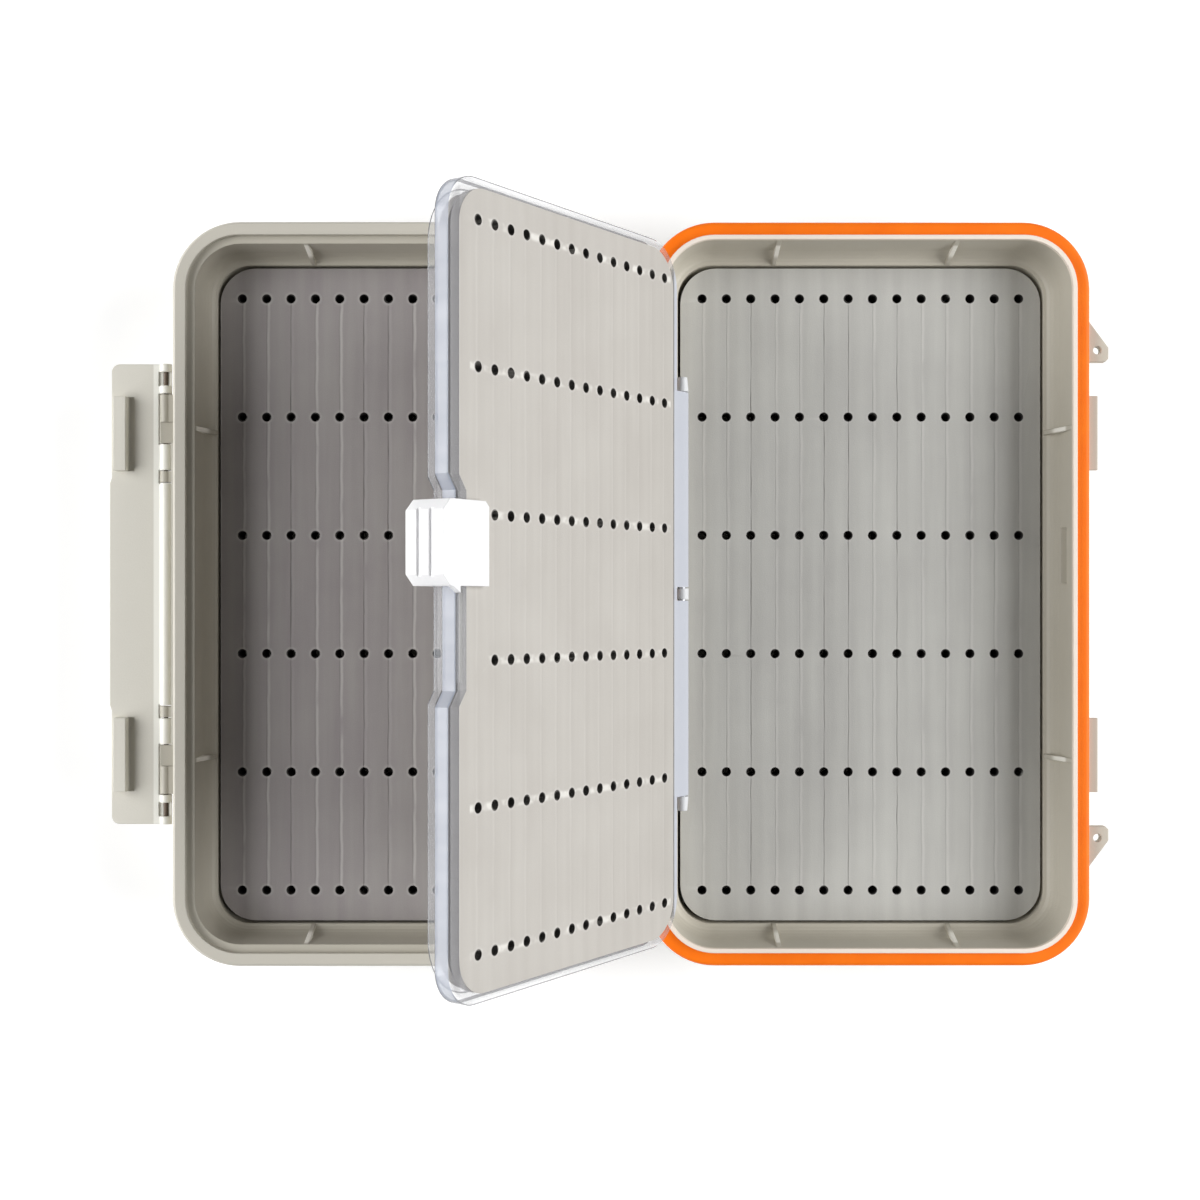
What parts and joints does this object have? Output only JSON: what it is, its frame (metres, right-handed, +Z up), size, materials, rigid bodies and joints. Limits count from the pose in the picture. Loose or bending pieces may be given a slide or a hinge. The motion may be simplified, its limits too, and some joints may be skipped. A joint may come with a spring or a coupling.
{
  "type": "fly box",
  "caption": "Fly box lying open: foam-lined base and hinged lid, orange rim seal, clear swing leaf with foam on both faces and a sliding tab, and a hooked latch flap.",
  "frame": {"origin": "middle of the base tray's underside", "axes": "+Z up, +X from the main hinge across the base tray, +Y along the hinge; the lid lies open towards -X"},
  "size_m": [0.2707, 0.2, 0.1114],
  "materials": {
    "shell": "satin",
    "seal": "satin",
    "foam": "matte",
    "leaf_foam": "matte",
    "clear": "clear",
    "tab": "satin",
    "steel": "bright"
  },
  "bodies": {
    "base": {"base_shell": "shell", "seal_ring": "seal", "base_foam": "foam", "hinge_pin_upper": "steel", "hinge_pin_lower": "steel", "leaf_rod": "steel"},
    "lid": {"lid_shell": "shell", "lid_foam": "foam", "latch_pin_upper": "steel", "latch_pin_lower": "steel"},
    "leaf": {"leaf_frame": "clear", "leaf_front_foam": "leaf_foam", "leaf_back_foam": "leaf_foam"},
    "tab": {"leaf_tab": "tab"},
    "latch": {"latch_plate": "shell"}
  },
  "joints": [
    {"name": "lid_hinge", "type": "hinge", "parent": "base", "child": "lid", "pos_m": [-0.06375, 0, 0.025], "axis": [0, 1, 0], "range_deg": [0, 180]},
    {"name": "leaf_hinge", "type": "hinge", "parent": "base", "child": "leaf", "pos_m": [-0.05, 0, 0.0245], "axis": [0, 1, 0], "range_deg": [0, 124.6]},
    {"name": "tab_slide", "type": "slide", "parent": "leaf", "child": "tab", "axis": [0, 1, 0], "range_m": [-0.021, 0]},
    {"name": "latch_hinge", "type": "hinge", "parent": "lid", "child": "latch", "pos_m": [-0.1903, 0, 0.019], "axis": [0, 1, 0], "range_deg": [-75, 90]}
  ],
  "couplings": [
    {"joint": "leaf_hinge", "follows": "lid_hinge", "ratio": 0.69222}
  ]
}
